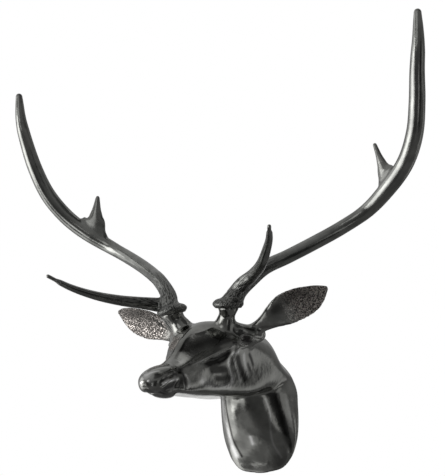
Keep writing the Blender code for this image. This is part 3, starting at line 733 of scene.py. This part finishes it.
def stipple_ears(mesh):
    """Stipples the hollow face of each ear, from its stem outward."""
    places = read_places(mesh)
    normals = read_normals(mesh)
    stipple = np.zeros(len(places))
    for name, side in SIDES.items():
        root = world(EAR_ROOT, side) * HEAD_SHARE
        along = np.array(Vector(world(EAR_ALONG, side)).normalized())
        upward = Vector(world(EAR_UPWARD, side))
        facing = np.array(Vector(along).cross(upward).normalized()) * side
        share = (places - root) @ along / EAR_LENGTH
        along_ear = np.interp(share, STIPPLE_STARTS[name], (0.0, 1.0))
        inside_ear = np.interp(normals @ facing, STIPPLE_FACING, (0.0, 1.0))
        stipple = np.maximum(stipple, along_ear * inside_ear)
    write_share(mesh, "stipple", stipple)


def relax(mesh, passes):
    """Evens out a skin without shrinking it: each pass pulls every corner in and lets it out again."""
    edges = read_edges(mesh)
    places = read_places(mesh)
    for _ in range(passes):
        for pull in (PULL_IN, -LET_OUT):
            places += pull * pulls(places, edges)
    write_places(mesh, places)


def fill_creases(mesh, passes, share=0.8):
    """Fills the creases where bodies meet: hollow corners move out, and full ones stay."""
    edges = read_edges(mesh)
    for _ in range(passes):
        places = read_places(mesh)
        normals = read_normals(mesh)
        hollow = np.clip(np.sum(pulls(places, edges) * normals, axis=1), 0.0, None)
        write_places(mesh, places + (share * hollow)[:, None] * normals)


def press(mesh, route, width, height):
    """Raises a ridge along a route on the skin, or sinks a groove where the height is negative."""
    line = curve(route, LINE_POINTS)
    places = read_places(mesh)
    near, gaps = close_to(places, line, reach=3 * width)
    closest = gaps.argmin(axis=1)
    strength = np.exp(-(gaps.min(axis=1) / width) ** 2)
    fade = np.sin(math.pi * (closest + 1) / (len(line) + 1)) ** 0.5
    places[near] += read_normals(mesh)[near] * (height * strength * fade)[:, None]
    write_places(mesh, places)


def cut_flat(thing, place, outward, reach=math.inf):
    """Cuts away what lies past a plane, within reach of a place on it, and closes the cut flat."""
    shape = bmesh.new()
    shape.from_mesh(thing.data)
    near = {vert for vert in shape.verts if (vert.co - place).length < reach}
    faces = [face for face in shape.faces if not near.isdisjoint(face.verts)]
    edges = dict.fromkeys(edge for face in faces for edge in face.edges)
    verts = dict.fromkeys(vert for face in faces for vert in face.verts)
    bmesh.ops.bisect_plane(
        shape,
        geom=[*verts, *edges, *faces],
        dist=1e-6,
        plane_co=place,
        plane_no=outward,
        clear_outer=True,
    )
    rim = [edge for edge in shape.edges if edge.is_boundary]
    bmesh.ops.edgeloop_fill(shape, edges=rim)
    bmesh.ops.recalc_face_normals(shape, faces=shape.faces)
    shape.to_mesh(thing.data)
    shape.free()


def seat(side):
    """The middle of a stump's flat top and the way it faces."""
    place = Vector(world(STUMP_ROUTE[-1], side) * HEAD_SHARE)
    return place, Vector(world(SEAT_LEAN, side)).normalized()


def head_rings():
    """Rings of the upright slices of the head."""
    rows = [[row[0], row[1], *row[2], *row[3], *row[4], *row[5], row[6]] for row in HEAD_SLICES]
    rings = []
    for ahead, crown, *sides, throat in curve(rows, HEAD_RINGS):
        half = [(sides[i], sides[i + 1]) for i in range(0, len(sides), 2)]
        outline = [(0.0, crown), *half, (0.0, throat), *[(-x, z) for x, z in reversed(half)]]
        rings.append([Vector((x, -ahead, z)) * HEAD_SHARE for x, z in loop(outline, RING_POINTS)])
    return rings


def neck_rings():
    """Rings of the level slices of the neck, each an oval about the wall."""
    angles = [2 * math.pi * i / RING_POINTS for i in range(RING_POINTS)]
    return [
        [Vector((half * math.cos(a), -depth * math.sin(a), height)) * HEAD_SHARE for a in angles]
        for height, half, depth in curve(NECK_SLICES, NECK_RINGS)
    ]


def add_stump(shape, side):
    """Adds the smooth stump that carries an antler, which goes past its seat and is cut flat there."""
    place, lean = seat(side)
    route = curve(world(STUMP_ROUTE, side) * HEAD_SHARE, STUMP_RINGS)
    route = [*route, np.array(place + lean * (STUMP_EXCESS * STUMP_WIDTH))]
    widths = STUMP_WIDTH * shares(STUMP_SWELL, STUMP_RINGS)
    widths = [*widths, widths[-1]]
    broad = [STUMP_BREADTH] * len(route)
    add_tube(shape, route, widths, STUMP_POINTS, broad, world(STUMP_BROADSIDE, side))


def add_ear(shape, side):
    """Adds a cupped leaf on its stem, which reaches into the skull."""
    root = Vector(world(EAR_ROOT, side) * HEAD_SHARE)
    along = Vector(world(EAR_ALONG, side)).normalized()
    upward = Vector(world(EAR_UPWARD, side))
    upward = (upward - along * upward.dot(along)).normalized()
    facing = along.cross(upward) * side
    rings = []
    rows = [[share, *top, *bottom, thick] for share, top, bottom, thick in EAR_LEAF]
    for share, top_up, top_facing, bottom_up, bottom_facing, thick in curve(rows, EAR_RINGS):
        top = EAR_WIDTH * (upward * top_up + facing * top_facing)
        bottom = EAR_WIDTH * (upward * bottom_up + facing * bottom_facing)
        middle = root + along * (share * EAR_LENGTH) + (top + bottom) / 2
        half = (top - bottom) / 2
        behind = along.cross(half).normalized() * side
        grown = min(1.0, max(0.0, EAR_CUP_GROWTH * share - EAR_CUP_LAG))
        hollow = EAR_CUP * half.length * grown
        ring = []
        for i in range(EAR_POINTS):
            angle = 2 * math.pi * i / EAR_POINTS
            across = math.cos(angle)
            outward = math.copysign(abs(math.sin(angle)) ** EAR_SQUARENESS, math.sin(angle))
            skin = outward * EAR_THICKNESS * thick / 2
            ring.append(middle + half * across + behind * (skin + hollow * (across * across - 1)))
        rings.append(ring)
    add_body(shape, rings)


def carve_head(mesh):
    """Presses the lines of the face into both sides of the skin."""
    for route, width, height in FACE_LINES:
        for side in SIDES.values():
            press(mesh, world(route, side) * HEAD_SHARE, width * HEAD_SHARE, height * HEAD_SHARE)


def carve_eyes(head):
    """Swells the ball of each eye out of its socket and lays the two lids round it."""
    mesh = head.data
    for side in SIDES.values():
        bpy.context.view_layer.update()
        skin = BVHTree.FromObject(head, bpy.context.evaluated_depsgraph_get())
        middle, outward = skin.find_nearest(world(EYE_MIDDLE, side) * HEAD_SHARE)[:2]
        corners = world((UPPER_LID[0], UPPER_LID[-1]), side)
        upward = outward.cross(Vector(corners[1] - corners[0])).normalized()
        lengthways = upward.cross(outward)
        places = read_places(mesh)
        gaps = places - np.array(middle)
        long_way = gaps @ np.array(lengthways) / (EYE_LENGTH / 2)
        high_way = gaps @ np.array(upward) / (EYE_HEIGHT / 2)
        near = np.abs(gaps @ np.array(outward)) < EYE_DEPTH
        round_way = long_way ** 2 + high_way ** 2
        ball = np.where(near & (round_way < 1.0), np.sqrt(np.clip(1.0 - round_way, 0.0, 1.0)), 0.0)
        places += np.outer(ball * EYE_BULGE, np.array(outward))
        write_places(mesh, places)
        for lid, height in ((UPPER_LID, UPPER_LID_RISE), (LOWER_LID, LOWER_LID_RISE)):
            route = [np.array(skin.find_nearest(place)[0]) for place in world(lid, side) * HEAD_SHARE]
            press(mesh, route, LID_SPREAD, height)
            fold = [place + (np.array(middle) - place) * FOLD_INSET for place in route]
            press(mesh, fold, FOLD_SPREAD, -FOLD_DEPTH)


def make_head():
    """The head, the neck, the ears and the stumps in one fine skin."""
    shape = bmesh.new()
    add_body(shape, head_rings())
    add_body(shape, neck_rings())
    for middle, sizes, tilt, squareness in SNOUT_BALLS:
        place = Vector(world(middle)) * HEAD_SHARE
        add_ball(shape, place, np.array(sizes) * HEAD_SHARE, tilt, squareness)
    for side in SIDES.values():
        for middle, sizes in ROOT_SWELLS:
            add_ball(shape, world(middle, side) * HEAD_SHARE, np.array(sizes) * HEAD_SHARE, 0.0, 1.0)
        add_stump(shape, side)
        add_ear(shape, side)
    head = mesh_object("head_skin", shape)
    fuse(head, HEAD_GRAIN)
    relax(head.data, passes=12)
    fill_creases(head.data, passes=36)
    for place, reach in ROOT_HOLLOWS:
        near = nearness(head.data, place, reach)
        fill_creases(head.data, passes=30, share=0.9 * near)
        soften(head.data, passes=60, share=0.5 * near)
    carve_head(head.data)
    relax(head.data, passes=2)
    carve_eyes(head)
    relax(head.data, passes=1)
    cut_flat(head, Vector((0.0, 0.0, 0.0)), Vector((0.0, 1.0, 0.0)))
    for side in SIDES.values():
        place, lean = seat(side)
        cut_flat(head, place, lean, reach=1.2 * STUMP_WIDTH)
    mark_skin(head.data, {name: HEAD_MARKS + SIDE_MARKS[name] for name in SIDES})
    stipple_ears(head.data)
    return head


def add_beam(shape, name):
    """Adds the beam of an antler, rooted in its burr, and gives back its route."""
    place, lean = seat(SIDES[name])
    route = np.array(place) + curve(world(BEAM_ROUTE, SIDES[name]) * ANTLER_SHARE, BEAM_RINGS)
    route[0] -= np.array(lean) * (0.5 * BURR_HEIGHT)
    add_tube(shape, route, shares(BEAM_WIDTHS, BEAM_RINGS), BEAM_POINTS)
    return route


def add_burr(shape, name):
    """Adds the stepped burr at the foot of a beam."""
    place, lean = seat(SIDES[name])
    route = [place + lean * (BURR_HEIGHT * rise) for rise, _ in BURR_STEPS]
    add_tube(shape, route, [BURR_WIDTH * wide for _, wide in BURR_STEPS], BURR_POINTS)


def add_brow_tine(shape, name):
    """Adds the pointed tine that grows forward from the foot of a beam, and gives back its route."""
    start = np.array(seat(SIDES[name])[0])
    route = world(BROW_TINE_ROUTES[name], SIDES[name]) * ANTLER_SHARE
    route = start + curve(route, BROW_TINE_RINGS)
    widths = BROW_TINE_WIDTH * shares(BROW_TINE_SWELL, BROW_TINE_RINGS)
    add_tube(shape, route, np.maximum(widths, TINE_POINT_WIDTH), TINE_POINTS)
    return route


def add_upper_tine(shape, name):
    """Adds the tine that rises from the bend of a beam, broad and flush with it at its foot."""
    start = np.array(seat(SIDES[name])[0])
    foot, tip, breadth = UPPER_TINES[name]
    ends = world((foot, tip), SIDES[name]) * ANTLER_SHARE
    route = start + np.linspace(*ends, UPPER_TINE_RINGS)
    widths = UPPER_TINE_WIDTH * shares(UPPER_TINE_SWELL, UPPER_TINE_RINGS)
    broad = np.maximum(shares(UPPER_TINE_BREADTH, UPPER_TINE_RINGS) * breadth, 1.0)
    broadside = world(UPPER_TINE_BROADSIDE, SIDES[name])
    slants = shares(UPPER_TINE_SLANT, UPPER_TINE_RINGS)
    add_tube(shape, route, widths, TINE_POINTS, broad, broadside, slants)


def make_antler(name):
    """A beam with its burr, its brow tine and its upper tine, in one fine skin."""
    shape = bmesh.new()
    beam = add_beam(shape, name)
    add_burr(shape, name)
    brow_tine = add_brow_tine(shape, name)
    add_upper_tine(shape, name)
    antler = mesh_object(f"{name}_antler_skin", shape)
    fuse(antler, ANTLER_GRAIN)
    relax(antler.data, passes=5)
    fill_creases(antler.data, passes=70)
    relax(antler.data, passes=6)
    place, lean = seat(SIDES[name])
    cut_flat(antler, place + lean * SEAT_GAP, -lean)
    grain_antler(antler.data, (beam[1:], brow_tine), np.array(place))
    mark_skin(antler.data, ANTLER_MARKS)
    return antler


def grain_antler(mesh, lines, start):
    """Lays a grain along the beam and the brow tine, strong by the burr and faint further out."""
    batch = 20000
    places = read_places(mesh)
    best = np.full(len(places), np.inf)
    grain_place = np.zeros_like(places)
    for line in lines:
        far = distances(line)
        directions = np.gradient(line, axis=0)
        directions /= np.linalg.norm(directions, axis=1)[:, None]
        sideways = np.cross(directions, GRAIN_ASIDE)
        sideways /= np.linalg.norm(sideways, axis=1)[:, None]
        other = np.cross(directions, sideways)
        nearest = np.empty(len(places), dtype=int)
        for first in range(0, len(places), batch):
            some = places[first:first + batch]
            gaps = (some ** 2).sum(axis=1)[:, None] - 2 * some @ line.T + (line ** 2).sum(axis=1)[None]
            nearest[first:first + batch] = gaps.argmin(axis=1)
        offset = places - line[nearest]
        gap = np.linalg.norm(offset, axis=1)
        mine = gap < best
        best[mine] = gap[mine]
        across = np.sum(offset * sideways[nearest], axis=1)
        up = np.sum(offset * other[nearest], axis=1)
        grain_place[mine] = np.stack([across, up, far[nearest] * GRAIN_STRETCH], axis=1)[mine]
    kept = mesh.attributes.new("grain_place", "FLOAT_VECTOR", "POINT")
    kept.data.foreach_set("vector", grain_place.astype(np.float32).ravel())
    reach = np.linalg.norm(places - start, axis=1) / ANTLER_RISE
    write_share(mesh, "grain", np.clip(1.0 - (reach - GRAIN_FADE_START) / GRAIN_FADE, GRAIN_LEAST, 1.0))


def finish_skin(thing, metal):
    """Gives a skin its metal and smooth shading, with crisp edges where it was cut flat."""
    thing.data.materials.clear()
    thing.data.materials.append(metal)
    thing.data.shade_smooth()
    thing.data.set_sharp_from_angle(angle=math.radians(CRISP_ANGLE))


def maths(tree):
    """Gives a function that works out numbers and sockets with one maths node in a tree."""

    def work(operation, *values):
        step = tree.nodes.new("ShaderNodeMath")
        step.operation = operation
        for socket, value in zip(step.inputs, values):
            if isinstance(value, (int, float)):
                socket.default_value = value
            else:
                tree.links.new(value, socket)
        return step.outputs[0]

    return work


def shade(colour, share):
    """A colour made darker."""
    return tuple(share * part for part in colour)


def polished_metal(name, colour, stipple_colour):
    """Cast aluminium: mottled and worked by hand, stippled and grained in places, with painted shade and
    painted highlights.
    """
    metal = bpy.data.materials.new(name)
    metal.use_nodes = True
    nodes, links = metal.node_tree.nodes, metal.node_tree.links
    work = maths(metal.node_tree)
    surface = nodes["Principled BSDF"]
    surface.inputs["Metallic"].default_value = 1.0
    place = nodes.new("ShaderNodeTexCoord").outputs["Object"]

    def painted(attribute, output="Fac"):
        made = nodes.new("ShaderNodeAttribute")
        made.attribute_name = attribute
        return made.outputs[output]

    def noise(scale, detail, where=place):
        made = nodes.new("ShaderNodeTexNoise")
        made.inputs["Scale"].default_value = scale
        made.inputs["Detail"].default_value = detail
        links.new(where, made.inputs["Vector"])
        return made.outputs["Fac"]

    def spread(value, lowest, highest, start=0.0, end=1.0):
        fade = nodes.new("ShaderNodeMapRange")
        links.new(value, fade.inputs["Value"])
        fade.inputs["From Min"].default_value = lowest
        fade.inputs["From Max"].default_value = highest
        fade.inputs["To Min"].default_value = start
        fade.inputs["To Max"].default_value = end
        return fade.outputs["Result"]

    def blend(share, one, two):
        mix = nodes.new("ShaderNodeMix")
        mix.data_type = "RGBA"
        for socket, value in zip((0, 6, 7), (share, one, two)):
            if isinstance(value, tuple):
                mix.inputs[socket].default_value = (*value, 1.0)
            else:
                links.new(value, mix.inputs[socket])
        return mix.outputs[2]

    def bump(height, distance, strength, under=None):
        made = nodes.new("ShaderNodeBump")
        made.inputs["Distance"].default_value = distance
        made.inputs["Strength"].default_value = strength
        links.new(height, made.inputs["Height"])
        if under is not None:
            links.new(under, made.inputs["Normal"])
        return made.outputs["Normal"]

    # Painted shade where this attribute is positive, painted highlights where it is negative
    painted_shade_and_highlight = painted("painted_shade_and_highlight")
    stipple = painted("stipple")
    grain = painted("grain")
    # This black serves both the painted shade and the grain's streaks
    black = shade(colour, BLACK_SHADE)
    mottles = spread(noise(scale=45.0, detail=4.0), lowest=0.38, highest=0.62)
    peaks = spread(noise(scale=560.0, detail=3.0), lowest=0.42, highest=0.58)
    fibres = noise(scale=900.0, detail=3.0, where=painted("grain_place", "Vector"))
    mottled = blend(mottles, shade(colour, MOTTLE_SHADE), colour)
    stippled = blend(peaks, shade(stipple_colour, PIT_SHADE), stipple_colour)
    # Painted shade darkens the metal here, and painted highlights brighten it on the next line
    with_painted_shade = blend(spread(painted_shade_and_highlight, 0.0, 1.0), blend(stipple, mottled, stippled), black)
    with_painted_highlight = blend(spread(painted_shade_and_highlight, 0.0, -1.0), with_painted_shade, PAINTED_HIGHLIGHT_COLOUR)
    streaks = work("MULTIPLY", spread(fibres, lowest=0.56, highest=0.44), grain)
    links.new(blend(streaks, with_painted_highlight, black), surface.inputs["Base Color"])
    rough = spread(noise(scale=90.0, detail=4.0), lowest=0.3, highest=0.7, start=0.09, end=0.19)
    for matted in (stipple, grain):
        rough = work("MULTIPLY_ADD", matted, MATTING, rough)
    links.new(rough, surface.inputs["Roughness"])
    worked = bump(noise(scale=170.0, detail=4.0), distance=0.0006, strength=0.3)
    grained = bump(work("MULTIPLY", fibres, grain), distance=0.0006, strength=1.0, under=worked)
    pitted = bump(work("MULTIPLY", peaks, stipple), distance=0.0007, strength=1.0, under=grained)
    links.new(pitted, surface.inputs["Normal"])
    return metal


def light_studio():
    """A pale room for the camera, and for the metal a dim room with soft boxes and dark flags."""
    room = bpy.data.worlds.new("studio")
    room.use_nodes = True
    bpy.context.scene.world = room
    nodes, links = room.node_tree.nodes, room.node_tree.links
    nodes.clear()
    way = nodes.new("ShaderNodeTexCoord").outputs["Generated"]
    split = nodes.new("ShaderNodeSeparateXYZ")
    links.new(way, split.inputs[0])
    work = maths(room.node_tree)
    ahead = work("MULTIPLY", split.outputs["Y"], -1.0)
    turn = work("DEGREES", work("ARCTAN2", split.outputs["X"], ahead))
    height = work("DEGREES", work("ARCSINE", split.outputs["Z"]))

    def inside(value, lowest, highest, softness):
        """One between two angles and nothing outside them, with a soft edge."""
        fade = nodes.new("ShaderNodeMapRange")
        fade.interpolation_type = "SMOOTHSTEP"
        gap = work("ABSOLUTE", work("SUBTRACT", value, (lowest + highest) / 2))
        links.new(gap, fade.inputs["Value"])
        fade.inputs["From Min"].default_value = (highest - lowest + softness) / 2
        fade.inputs["From Max"].default_value = (highest - lowest - softness) / 2
        return fade.outputs["Result"]

    rise = work("MAXIMUM", split.outputs["Z"], 0.0)
    light = work("MULTIPLY_ADD", rise, SKY_LIGHT - GROUND_LIGHT, GROUND_LIGHT)
    for (left, right), (low, high), softness, shine in SOFT_BOXES:
        across = inside(turn, left, right, softness)
        share = work("MULTIPLY", across, inside(height, low, high, softness))
        rest = work("MULTIPLY", light, work("SUBTRACT", 1.0, share))
        light = work("MULTIPLY_ADD", share, shine, rest)
    metal_light = nodes.new("ShaderNodeBackground")
    links.new(light, metal_light.inputs["Color"])
    plain = nodes.new("ShaderNodeBackground")
    plain.inputs["Color"].default_value = (1.0, 1.0, 1.0, 1.0)
    seen = nodes.new("ShaderNodeLightPath")
    either = nodes.new("ShaderNodeMixShader")
    links.new(seen.outputs["Is Camera Ray"], either.inputs[0])
    links.new(metal_light.outputs[0], either.inputs[1])
    links.new(plain.outputs[0], either.inputs[2])
    out = nodes.new("ShaderNodeOutputWorld")
    links.new(either.outputs[0], out.inputs["Surface"])


def lay_floor():
    """A plain pale floor under the head."""
    shape = bmesh.new()
    bmesh.ops.create_circle(shape, cap_ends=True, segments=96, radius=FLOOR_RADIUS)
    bmesh.ops.translate(shape, verts=shape.verts, vec=FLOOR_MIDDLE)
    floor = mesh_object("floor", shape)
    paint = bpy.data.materials.new("pale_floor")
    paint.use_nodes = True
    surface = paint.node_tree.nodes["Principled BSDF"]
    surface.inputs["Base Color"].default_value = FLOOR_COLOUR
    surface.inputs["Roughness"].default_value = FLOOR_ROUGHNESS
    floor.data.materials.append(paint)
    floor.visible_glossy = False


def set_camera():
    """The camera at the photograph's angle, a little below the head and to its left."""
    lens = bpy.data.cameras.new("camera")
    lens.lens = CAMERA_LENS
    camera = bpy.data.objects.new("camera", lens)
    bpy.context.collection.objects.link(camera)
    camera.location = CAMERA_PLACE
    camera.rotation_euler = (Vector(CAMERA_AIM) - camera.location).to_track_quat("-Z", "Y").to_euler()
    bpy.context.scene.camera = camera


head_metal = polished_metal("head_aluminium", HEAD_COLOUR, HEAD_STIPPLE)
antler_metal = polished_metal("antler_aluminium", ANTLER_COLOUR, ANTLER_STIPPLE)
head = make_head()
finish_skin(head, head_metal)
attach(head, "root")
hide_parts("deer_head")
for name in SIDES:
    antler = make_antler(name)
    finish_skin(antler, antler_metal)
    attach(antler, "root")
    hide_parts(f"{name}_antler")
light_studio()
lay_floor()
set_camera()
bpy.context.scene.view_settings.view_transform = "Standard"
